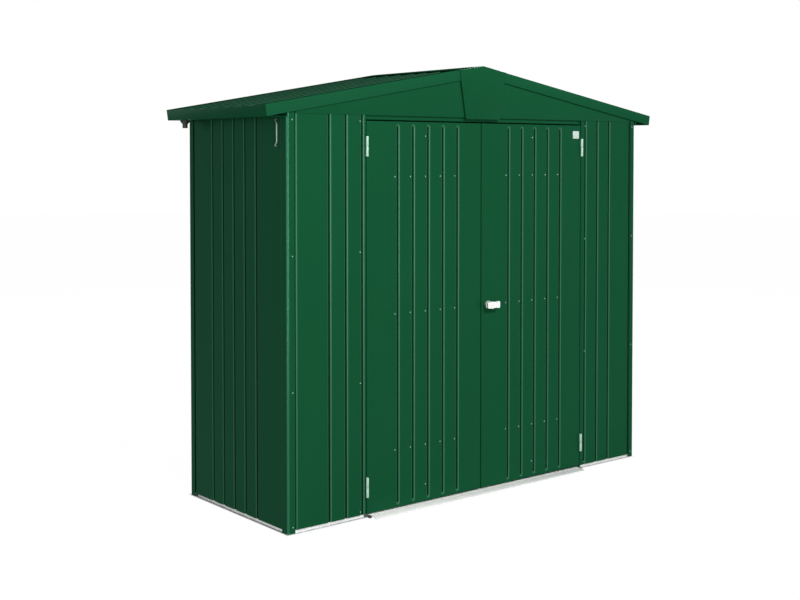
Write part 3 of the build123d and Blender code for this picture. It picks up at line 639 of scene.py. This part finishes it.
# Gutters and their outlets
# A folded gutter hangs under each eave, its face leaning in at the foot; rain leaves it by a
# short moulded black spout near the back.
BLACK = (0.012, 0.0125, 0.013)
OUTLET_BORE = 10 * MM
OUTLET_FLANGE = 22 * MM
OUTLET_STEPS = 48
OUTLET_SECTION = (
    (OUTLET_BORE, 0), (21.2 * MM, 0), (OUTLET_FLANGE, -0.8 * MM), (OUTLET_FLANGE, -7.2 * MM),
    (21.2 * MM, -8 * MM), (12.6 * MM, -17.2 * MM), (12 * MM, -18.6 * MM), (12 * MM, -35 * MM),
    (11 * MM, -36 * MM), (OUTLET_BORE, -36 * MM), (OUTLET_BORE, 0),
)


def black_moulding(name):
    """Matt black plastic with a fine grain."""
    material, tree, shader = new_finish(name)
    grain = object_noise(tree, scale=500, detail=2)
    cloud = object_noise(tree, scale=30, detail=2)
    tree.links.new(shaded(tree, cloud, BLACK, swing=0.2), shader.inputs["Base Color"])
    tree.links.new(spread(tree, grain, low=0.45, high=0.6), shader.inputs["Roughness"])
    relief(tree, [(grain, 0.03 * MM)], shader)
    return material


def turned(name, outline, steps, place, material):
    """A turned shape: the outline in radius and height about Z, then moved to its place."""
    shape = bmesh.new()
    turns = [2 * math.pi * step / steps for step in range(steps)]
    rings = []
    for radius, height in outline:
        spots = [(radius * math.cos(turn), radius * math.sin(turn), height) for turn in turns]
        if radius == 0:
            spots = [(0, 0, height)]
        rings.append([shape.verts.new(spot) for spot in spots])
    for above, below in zip(rings, rings[1:]):
        for step in range(steps):
            after = (step + 1) % steps
            corners = [above[step % len(above)], above[after % len(above)]]
            corners += [below[after % len(below)], below[step % len(below)]]
            shape.faces.new(list(dict.fromkeys(corners)))
    bmesh.ops.recalc_face_normals(shape, faces=shape.faces)
    mesh = finished_mesh(name, shape, material)
    mesh.transform(place)
    smoothed(mesh)
    return in_scene(name, mesh)


def joined(name, pieces, material):
    """Several solids of one body as one piece."""
    shape = bmesh.new()
    for piece in pieces:
        mesh = piece.data
        shape.from_mesh(mesh)
        bpy.data.objects.remove(piece)
        bpy.data.meshes.remove(mesh)
    mesh = finished_mesh(name, shape, material)
    smoothed(mesh)
    return in_scene(name, mesh)


black_plastic = black_moulding("black moulded plastic")
for side in ("left", "right"):
    rounded_copy("gutter_" + side, "eave_gutter_" + side, green_coat, FOLD_ROUND)
low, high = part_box("gutter_outlets")
reach = high.x - OUTLET_FLANGE
spouts = []
for x in (-reach, reach):
    place = Matrix.Translation((x, (low.y + high.y) / 2, high.z))
    spouts.append(turned("spout", OUTLET_SECTION, OUTLET_STEPS, place, black_plastic))
stands_for(joined("gutter_spouts", spouts, black_plastic), "gutter_outlets")

# Door leaves
# Each leaf is a tray of coated sheet, its edges folded back and in, with five beads that stop
# short of the ends. Three rails across the inside carry the sheet; rivets hold them to it.
DOOR_BEADS = 5
DOOR_FIRST_BEAD = 178 * MM
DOOR_BEAD_END = 16 * MM
DOOR_BEAD_MARGIN = 10 * MM
DOOR_END_ROWS = 7
DOOR_SHEET = 1.2 * MM
DOOR_FOLD = 2 * MM
DOOR_LIP = 11 * MM
CLOSED_ENDS = {
    "Rows": 2 * DOOR_END_ROWS, "End Margin": DOOR_BEAD_MARGIN - DOOR_FOLD,
    "End Length": DOOR_BEAD_END,
}
FOLD_STEPS = 4
AT_EDGE = 0.01 * MM
NEARLY_FLAT = 0.99


def folded_back(piece, fold, depth, lip, thickness):
    """Folds the four edges of a flat sheet back by the depth and then in by the lip."""
    shape = bmesh.new()
    shape.from_mesh(piece.data)
    xs = [vert.co.x for vert in shape.verts]
    zs = [vert.co.z for vert in shape.verts]
    limits = ((min(xs), max(xs)), (min(zs), max(zs)))
    edges = [edge for edge in shape.edges if edge.is_boundary]
    base = {}
    for edge in edges:
        for vert in edge.verts:
            out = Vector((0, 0, 0))
            for axis, (least, most) in zip((0, 2), limits):
                if vert.co[axis] - least < AT_EDGE:
                    out[axis] = -1
                if most - vert.co[axis] < AT_EDGE:
                    out[axis] = 1
            base[vert] = (vert.co.copy(), out)
    turns = [math.pi / 2 * step / FOLD_STEPS for step in range(FOLD_STEPS + 1)]
    rings = [(fold * math.sin(turn), fold * (1 - math.cos(turn))) for turn in turns[1:]]
    rings += [(fold * math.cos(turn), depth - fold + fold * math.sin(turn)) for turn in turns]
    rings.append((-lip, depth))
    ring = {vert: vert for vert in base}
    for out_by, deep in rings:
        fresh = {}
        for vert, (spot, out) in base.items():
            fresh[vert] = shape.verts.new(spot + out * out_by + Vector((0, deep, 0)))
        for edge in edges:
            first, second = edge.verts
            shape.faces.new((ring[first], ring[second], fresh[second], fresh[first]))
        ring = fresh
    bmesh.ops.recalc_face_normals(shape, faces=shape.faces)
    flats = [face for face in shape.faces if abs(face.normal.y) > NEARLY_FLAT]
    if sum(face.normal.y * face.calc_area() for face in flats) > 0:
        bmesh.ops.reverse_faces(shape, faces=shape.faces)
    shape.to_mesh(piece.data)
    shape.free()
    return thickened(piece, thickness)


for side in ("left", "right"):
    low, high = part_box("door_skin_" + side)
    width = high.x - low.x - 2 * DOOR_FOLD
    height = high.z - low.z - 2 * DOOR_FOLD
    beads = evenly(DOOR_FIRST_BEAD - DOOR_FOLD, BEAD_PITCH, DOOR_BEADS)
    name = "door_leaf_" + side
    leaf = pressed_sheet(name, width, height, beads, STEEL_BEAD, CLOSED_ENDS, green_coat)
    folded_back(leaf, DOOR_FOLD, high.y - low.y, DOOR_LIP, DOOR_SHEET)
    leaf.data.transform(Matrix.Translation((low.x + DOOR_FOLD, low.y, low.z + DOOR_FOLD)))
    stands_for(leaf, "door_skin_" + side)
    rounded_copy("door_rails_" + side, "leaf_rails_" + side, green_coat, FOLD_ROUND)

# Rivets
# Low domed rivet heads, a shade lighter than the sheets, hold the door sheets to their rails
# and the front sheets to the posts and jambs. One head is repeated on every point of a row.
RIVET_RADIUS = 3.2 * MM
RIVET_HEIGHT = 1.6 * MM
RIVET_SIDES = 20
RIVET_RINGS = 10
RIVET_FOOT = -0.2
RIVET_FROM_BEAD = 18 * MM
DOOR_RIVET_HEIGHTS = (278.5 * MM, 895 * MM, 1513 * MM)
DOOR_END_RIVET_HEIGHTS = (94 * MM, 1697 * MM)
WALL_RIVET_HEIGHTS = (30 * MM, 604 * MM, 1183 * MM, 1759 * MM)
POST_RIVET_X = 1083 * MM
JAMB_RIVET_X = 723 * MM
RIVET_COLOUR = (0.22, 0.38, 0.30)


def rivet_row_tree():
    """A domed head on every point of the piece, turned to face the front."""
    tree = bpy.data.node_groups.new("rivet heads", "GeometryNodeTree")
    tree.interface.new_socket(name="Geometry", in_out="INPUT", socket_type="NodeSocketGeometry")
    size = new_sizes(tree, [
        ("Head Radius", "NodeSocketFloat"), ("Head Height", "NodeSocketFloat"),
        ("Sides", "NodeSocketInt"), ("Material", "NodeSocketMaterial"),
    ])
    start = next(step for step in tree.nodes if step.type == "GROUP_INPUT")
    ball = tree.nodes.new("GeometryNodeMeshUVSphere")
    tree.links.new(size["Sides"], ball.inputs["Segments"])
    ball.inputs["Rings"].default_value = RIVET_RINGS
    ball.inputs["Radius"].default_value = 1.0
    position = tree.nodes.new("GeometryNodeInputPosition")
    place = tree.nodes.new("ShaderNodeSeparateXYZ")
    tree.links.new(position.outputs[0], place.inputs[0])
    lower = maths(tree, "LESS_THAN", place.outputs["Z"], RIVET_FOOT)
    cut = tree.nodes.new("GeometryNodeDeleteGeometry")
    tree.links.new(ball.outputs["Mesh"], cut.inputs["Geometry"])
    tree.links.new(lower, cut.inputs["Selection"])
    scale = tree.nodes.new("ShaderNodeCombineXYZ")
    tree.links.new(size["Head Radius"], scale.inputs[0])
    tree.links.new(size["Head Radius"], scale.inputs[1])
    tree.links.new(size["Head Height"], scale.inputs[2])
    flat = tree.nodes.new("GeometryNodeTransform")
    tree.links.new(cut.outputs["Geometry"], flat.inputs["Geometry"])
    tree.links.new(scale.outputs[0], flat.inputs["Scale"])
    flat.inputs["Rotation"].default_value = (math.radians(90), 0, 0)
    heads = tree.nodes.new("GeometryNodeInstanceOnPoints")
    tree.links.new(start.outputs["Geometry"], heads.inputs["Points"])
    tree.links.new(flat.outputs["Geometry"], heads.inputs["Instance"])
    smooth = tree.nodes.new("GeometryNodeSetShadeSmooth")
    tree.links.new(heads.outputs["Instances"], smooth.inputs["Geometry"])
    end_tree(tree, smooth.outputs["Geometry"], size["Material"])
    return tree


def rivet_heads(name, points, body, material):
    """Rivet heads that face the front, at points on the outer face of a sheet."""
    sizes = {"Head Radius": RIVET_RADIUS, "Head Height": RIVET_HEIGHT, "Sides": RIVET_SIDES}
    piece = made_by(rivet_row, name, {**sizes, "Material": material}, points)
    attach(piece, body)


rivet_row = rivet_row_tree()
rivet_coat = coated_steel(
    "lighter coating on rivet heads", RIVET_COLOUR, roughness=0.3, sheen=0.5
)
for side, body in (("left", "left_door"), ("right", "right_door")):
    low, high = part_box("door_skin_" + side)
    columns = evenly(low.x + DOOR_FIRST_BEAD - RIVET_FROM_BEAD, BEAD_PITCH, DOOR_BEADS)
    middle = columns[DOOR_BEADS // 2]
    points = [(x, low.y, z) for x in columns for z in DOOR_RIVET_HEIGHTS]
    points += [(middle, low.y, z) for z in DOOR_END_RIVET_HEIGHTS]
    rivet_heads("door_rivets_" + side, points, body, rivet_coat)
wall_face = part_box("front_panel_left")[0].y
post_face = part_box("corner_post_front_left")[0].y
points = []
for x_side in (-1, 1):
    points += [(x_side * POST_RIVET_X, post_face, z) for z in WALL_RIVET_HEIGHTS]
    points += [(x_side * JAMB_RIVET_X, wall_face, z) for z in WALL_RIVET_HEIGHTS]
rivet_heads("front_wall_rivets", points, "root", rivet_coat)

# Hinges
# Lift-off barrel hinges in a pale grey-green finish, two a leaf: the lower knuckle and its pin
# stay on the jamb, the upper knuckle turns with the door.
HINGE_COLOUR = (0.36, 0.57, 0.45)
HINGE_EDGE_ROUND = 0.5 * MM


def satin_paint(name, colour, roughness, metallic):
    """Satin paint or plating, faintly clouded and grained."""
    material, tree, shader = new_finish(name)
    cloud = object_noise(tree, scale=90, detail=3)
    grain = object_noise(tree, scale=1200, detail=2)
    dullness = spread(tree, cloud, roughness - 0.05, roughness + 0.05)
    tree.links.new(shaded(tree, cloud, colour, swing=0.04), shader.inputs["Base Color"])
    tree.links.new(dullness, shader.inputs["Roughness"])
    shader.inputs["Metallic"].default_value = metallic
    relief(tree, [(grain, 0.012 * MM)], shader)
    return material


hinge_paint = satin_paint(
    "pale grey green hinge finish", HINGE_COLOUR, roughness=0.38, metallic=0.1
)
for side in ("left", "right"):
    for part in ("fixed", "moving"):
        name = f"door_hinge_{part}_{side}"
        rounded_copy(f"hinge_{part}_{side}", name, hinge_paint, HINGE_EDGE_ROUND, angle=40)

# Turn handle
# A pressed lever with a hollow end, in light satin metal with its edges well rounded. It turns
# on a round rose painted a darker grey, painted shade that stands in for the dark of the lever's
# hollow end.
LEVER_COLOUR = (0.80, 0.83, 0.81)
# The rose's darker grey is painted shade.
ROSE_SHADE_GREY = (0.30, 0.36, 0.33)
LEVER_ROUND = 1.4 * MM
ROSE_ROUND = 1.6 * MM
ROSE_ROUND_STEPS = 5
ROSE_STEPS = 64

handle_paint = satin_paint(
    "light satin handle metal", LEVER_COLOUR, roughness=0.35, metallic=0.15
)
low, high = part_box("handle_rose")
radius = (high.x - low.x) / 2
depth = high.y - low.y
shoulder = (radius - ROSE_ROUND, depth - ROSE_ROUND)
outline = [(0, depth), (shoulder[0], depth)]
outline += arc(shoulder, ROSE_ROUND, 75, 0, ROSE_ROUND_STEPS)
outline += [(radius, 0), (0, 0)]
foot = Matrix.Translation(((low.x + high.x) / 2, high.y, (low.z + high.z) / 2))
place = foot @ Matrix.Rotation(math.radians(90), 4, "X")
# The rose's grey is painted shade for the lever's hollow end.
rose_shade_paint = satin_paint(
    "rose painted grey as shade under the lever", ROSE_SHADE_GREY, roughness=0.4, metallic=0.2
)
stands_for(turned("handle_rose_disc", outline, ROSE_STEPS, place, rose_shade_paint), "handle_rose")
rounded_copy("handle_lever", "lever_grip", handle_paint, LEVER_ROUND, steps=4, angle=35)

# Blank plate
# A small pressed plate near the top of the right leaf, its face left bare.
PLATE_COLOUR = (0.50, 0.60, 0.55)
PLATE_EDGE_ROUND = 0.5 * MM

plate_paint = satin_paint("light grey plate finish", PLATE_COLOUR, roughness=0.4, metallic=0.2)
rounded_copy("blank_plate", "door_plate", plate_paint, PLATE_EDGE_ROUND)

# Rod bracket
# A bent length of dull zinc-plated rod by the front corner of the left wall, its ends turned
# back into the sheet.
ROD_COLOUR = (0.24, 0.29, 0.26)
ROD_END_ROUND = 0.3 * MM

zinc_wire = satin_paint("dull zinc plated rod", ROD_COLOUR, roughness=0.45, metallic=0.4)
rounded_copy("rod_bracket", "bent_rod", zinc_wire, ROD_END_ROUND, angle=60)

# Door sill
# A folded ramp of bare alloy in front of the doors, with tread lines along it. Its black end
# caps show only at their back.
SILL_COLOUR = (0.84, 0.84, 0.83)
ALONG_THE_SILL = (0.02, 1, 1)
SILL_FOLD = 0.4 * MM
CAP_EDGE_ROUND = 0.5 * MM
CAP_DEPTH = 15 * MM

sill_alloy = drawn_alloy(
    "rolled sill alloy", SILL_COLOUR, roughness=0.5, stretch=ALONG_THE_SILL, metallic=0.1
)
rounded_copy("door_sill", "sill_ramp", sill_alloy, SILL_FOLD)
caps = rounded_copy("sill_caps", "sill_end_caps", black_plastic, CAP_EDGE_ROUND)
cap_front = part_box("sill_caps")[1].y - CAP_DEPTH
for vert in caps.data.vertices:
    vert.co.y = max(vert.co.y, cap_front)

# Studio
# A white floor and a white surround. A raised soft box in front is the key, one behind lights
# the back, and two tall strips at the left pick out the beads and the rounded corner post.
WHITE = (1, 1, 1, 1)
FLOOR_GREY = (0.4, 0.4, 0.4, 1)
FLOOR_RADIUS = 30
FLOOR_SIDES = 96
FLOOR_SEEN_SHARE = 0.96
FLOOR_GLOW = 1.03
SKY_LIGHT = 0.12


def seen_directly(tree):
    """1 on rays from the camera, off a shiny face or through glass, and 0 on all others."""
    paths = tree.nodes.new("ShaderNodeLightPath")
    seen = maths(tree, "MAXIMUM", paths.outputs["Is Camera Ray"], paths.outputs["Is Glossy Ray"])
    return maths(tree, "MAXIMUM", seen, paths.outputs["Is Transmission Ray"])


floor_material = bpy.data.materials.new("white studio floor")
floor_material.use_nodes = True
tree = floor_material.node_tree
tree.nodes.clear()
matt = tree.nodes.new("ShaderNodeBsdfDiffuse")
matt.inputs["Color"].default_value = FLOOR_GREY
glow = tree.nodes.new("ShaderNodeEmission")
glow.inputs["Color"].default_value = WHITE
glow.inputs["Strength"].default_value = FLOOR_GLOW
mix = tree.nodes.new("ShaderNodeMixShader")
out = tree.nodes.new("ShaderNodeOutputMaterial")
tree.links.new(maths(tree, "MULTIPLY", seen_directly(tree), FLOOR_SEEN_SHARE), mix.inputs[0])
tree.links.new(matt.outputs[0], mix.inputs[1])
tree.links.new(glow.outputs[0], mix.inputs[2])
tree.links.new(mix.outputs[0], out.inputs["Surface"])
shape = bmesh.new()
bmesh.ops.create_circle(shape, cap_ends=True, radius=FLOOR_RADIUS, segments=FLOOR_SIDES)
floor = in_scene("studio_floor", finished_mesh("studio_floor", shape, floor_material))

world = bpy.data.worlds.new("white studio")
bpy.context.scene.world = world
world.use_nodes = True
tree = world.node_tree
tree.nodes.clear()
sky = tree.nodes.new("ShaderNodeBackground")
sky.inputs["Color"].default_value = WHITE
brightness = maths(tree, "MULTIPLY_ADD", seen_directly(tree), 1 - SKY_LIGHT, SKY_LIGHT)
out = tree.nodes.new("ShaderNodeOutputWorld")
tree.links.new(brightness, sky.inputs["Strength"])
tree.links.new(sky.outputs[0], out.inputs["Surface"])


def soft_box(name, spot, target, width, height, watts):
    """An area lamp that stands at the spot and faces the target."""
    lamp = bpy.data.lights.new(name, "AREA")
    lamp.shape = "RECTANGLE"
    lamp.size = width
    lamp.size_y = height
    lamp.energy = watts
    box = in_scene(name, lamp)
    box.location = spot
    aim = Vector(target) - Vector(spot)
    box.rotation_euler = aim.to_track_quat("-Z", "Y").to_euler()


shed_middle = (0, 0, 0.95)
post_side = (-1.2, -0.4, 1.0)
soft_box("front key", (-0.9, -6.6, 5.4), shed_middle, width=2.2, height=1.8, watts=530)
soft_box("back light", (5.5, 5.5, 4.5), shed_middle, width=3.0, height=3.0, watts=420)
soft_box("bead strip", (-3.3, -6.3, 1.3), shed_middle, width=0.7, height=2.6, watts=125)
soft_box("corner strip", (-4.0, -2.2, 1.3), post_side, width=0.2, height=2.6, watts=17)

# Camera
# It stands where the photograph was taken from, nearly level, with its view shifted down so
# that the uprights stay nearly upright.
SENSOR_WIDTH = 36
FOCAL_LENGTH = 55.846
VIEW_SHIFT = -0.13
EYE = (-4.0195, -4.7488, 1.6048)
DIP = 1.833
HEADING = -39.077

camera_data = bpy.data.cameras.new("camera")
camera_data.sensor_width = SENSOR_WIDTH
camera_data.lens = FOCAL_LENGTH
camera_data.shift_y = VIEW_SHIFT
camera = in_scene("camera", camera_data)
camera.location = EYE
camera.rotation_euler = (math.radians(90 - DIP), 0, math.radians(HEADING))
scene = bpy.context.scene
scene.camera = camera
scene.view_settings.view_transform = "Standard"
